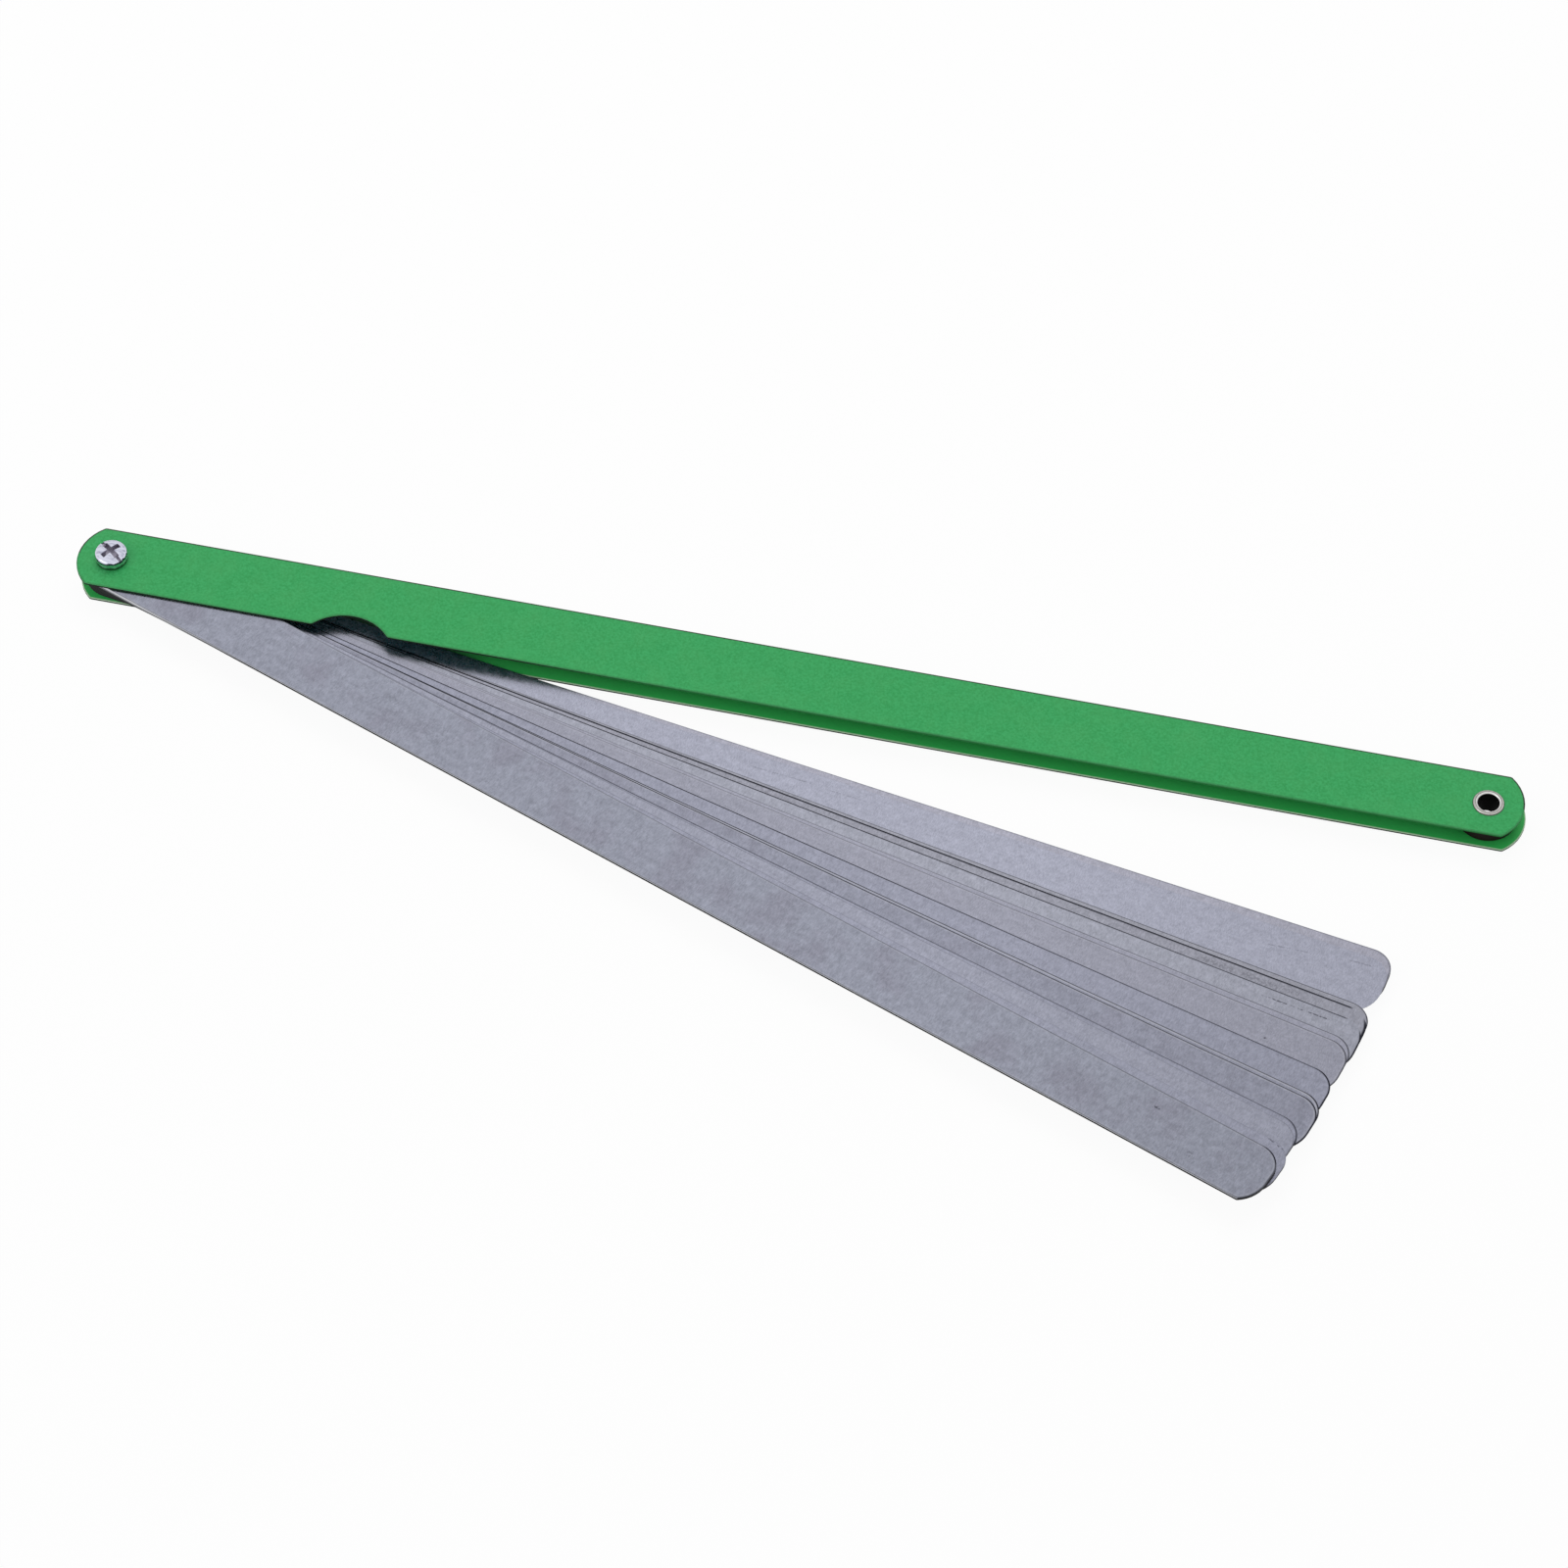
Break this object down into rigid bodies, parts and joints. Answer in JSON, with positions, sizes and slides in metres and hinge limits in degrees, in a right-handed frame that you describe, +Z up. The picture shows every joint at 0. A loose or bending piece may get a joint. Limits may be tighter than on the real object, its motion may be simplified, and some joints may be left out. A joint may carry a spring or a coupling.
{
  "type": "folding feeler gauge",
  "caption": "Long flat case of two sheet covers with thin steel leaves that fan out from a pivot at one end; a hanging eyelet is at the other.",
  "frame": {"origin": "on the pivot axis, at the flat face of the barrel nut's head under the case", "axes": "+X along the case from the pivot to the hanging eyelet, +Z up the pivot towards the screw head, leaves swing out of the case to the -Y side"},
  "size_m": [0.3189, 0.1169, 0.0096],
  "materials": {
    "green_paint": "satin",
    "spring_steel": "ground",
    "zinc_plate": "bright zinc",
    "eyelet_steel": "satin",
    "black_plastic": "matte"
  },
  "bodies": {
    "case": {"bottom_cover": "green_paint", "top_cover": "green_paint", "pivot_barrel_nut": "zinc_plate", "pivot_screw": "zinc_plate", "end_eyelet": "eyelet_steel", "end_spacer": "black_plastic"},
    "leaf_1_00mm": {"leaf_1_00mm": "spring_steel"},
    "leaf_0_05mm": {"leaf_0_05mm": "spring_steel"},
    "leaf_0_06mm": {"leaf_0_06mm": "spring_steel"},
    "leaf_0_07mm": {"leaf_0_07mm": "spring_steel"},
    "leaf_0_08mm": {"leaf_0_08mm": "spring_steel"},
    "leaf_0_09mm": {"leaf_0_09mm": "spring_steel"},
    "leaf_0_10mm": {"leaf_0_10mm": "spring_steel"},
    "leaf_0_15mm": {"leaf_0_15mm": "spring_steel"},
    "leaf_0_20mm": {"leaf_0_20mm": "spring_steel"},
    "leaf_0_25mm": {"leaf_0_25mm": "spring_steel"},
    "leaf_0_30mm": {"leaf_0_30mm": "spring_steel"},
    "leaf_0_40mm": {"leaf_0_40mm": "spring_steel"},
    "leaf_0_50mm": {"leaf_0_50mm": "spring_steel"},
    "leaf_0_75mm": {"leaf_0_75mm": "spring_steel"}
  },
  "joints": [
    {"name": "leaf_1_00mm_swing", "type": "hinge", "parent": "case", "child": "leaf_1_00mm", "pos_m": [0, 0, 0], "axis": [0, 0, 1], "range_deg": [-170.65, 9.35]},
    {"name": "leaf_0_05mm_swing", "type": "hinge", "parent": "case", "child": "leaf_0_05mm", "pos_m": [0, 0, 0], "axis": [0, 0, 1], "range_deg": [-170.2, 9.8]},
    {"name": "leaf_0_06mm_swing", "type": "hinge", "parent": "case", "child": "leaf_0_06mm", "pos_m": [0, 0, 0], "axis": [0, 0, 1], "range_deg": [-167.75, 12.25]},
    {"name": "leaf_0_07mm_swing", "type": "hinge", "parent": "case", "child": "leaf_0_07mm", "pos_m": [0, 0, 0], "axis": [0, 0, 1], "range_deg": [-167.5, 12.5]},
    {"name": "leaf_0_08mm_swing", "type": "hinge", "parent": "case", "child": "leaf_0_08mm", "pos_m": [0, 0, 0], "axis": [0, 0, 1], "range_deg": [-166.9, 13.1]},
    {"name": "leaf_0_09mm_swing", "type": "hinge", "parent": "case", "child": "leaf_0_09mm", "pos_m": [0, 0, 0], "axis": [0, 0, 1], "range_deg": [-165.9, 14.1]},
    {"name": "leaf_0_10mm_swing", "type": "hinge", "parent": "case", "child": "leaf_0_10mm", "pos_m": [0, 0, 0], "axis": [0, 0, 1], "range_deg": [-165.6, 14.4]},
    {"name": "leaf_0_15mm_swing", "type": "hinge", "parent": "case", "child": "leaf_0_15mm", "pos_m": [0, 0, 0], "axis": [0, 0, 1], "range_deg": [-164, 16]},
    {"name": "leaf_0_20mm_swing", "type": "hinge", "parent": "case", "child": "leaf_0_20mm", "pos_m": [0, 0, 0], "axis": [0, 0, 1], "range_deg": [-162.7, 17.3]},
    {"name": "leaf_0_25mm_swing", "type": "hinge", "parent": "case", "child": "leaf_0_25mm", "pos_m": [0, 0, 0], "axis": [0, 0, 1], "range_deg": [-162.45, 17.55]},
    {"name": "leaf_0_30mm_swing", "type": "hinge", "parent": "case", "child": "leaf_0_30mm", "pos_m": [0, 0, 0], "axis": [0, 0, 1], "range_deg": [-161.15, 18.85]},
    {"name": "leaf_0_40mm_swing", "type": "hinge", "parent": "case", "child": "leaf_0_40mm", "pos_m": [0, 0, 0], "axis": [0, 0, 1], "range_deg": [-160.85, 19.15]},
    {"name": "leaf_0_50mm_swing", "type": "hinge", "parent": "case", "child": "leaf_0_50mm", "pos_m": [0, 0, 0], "axis": [0, 0, 1], "range_deg": [-159.8, 20.2]},
    {"name": "leaf_0_75mm_swing", "type": "hinge", "parent": "case", "child": "leaf_0_75mm", "pos_m": [0, 0, 0], "axis": [0, 0, 1], "range_deg": [-159.25, 20.75]}
  ]
}
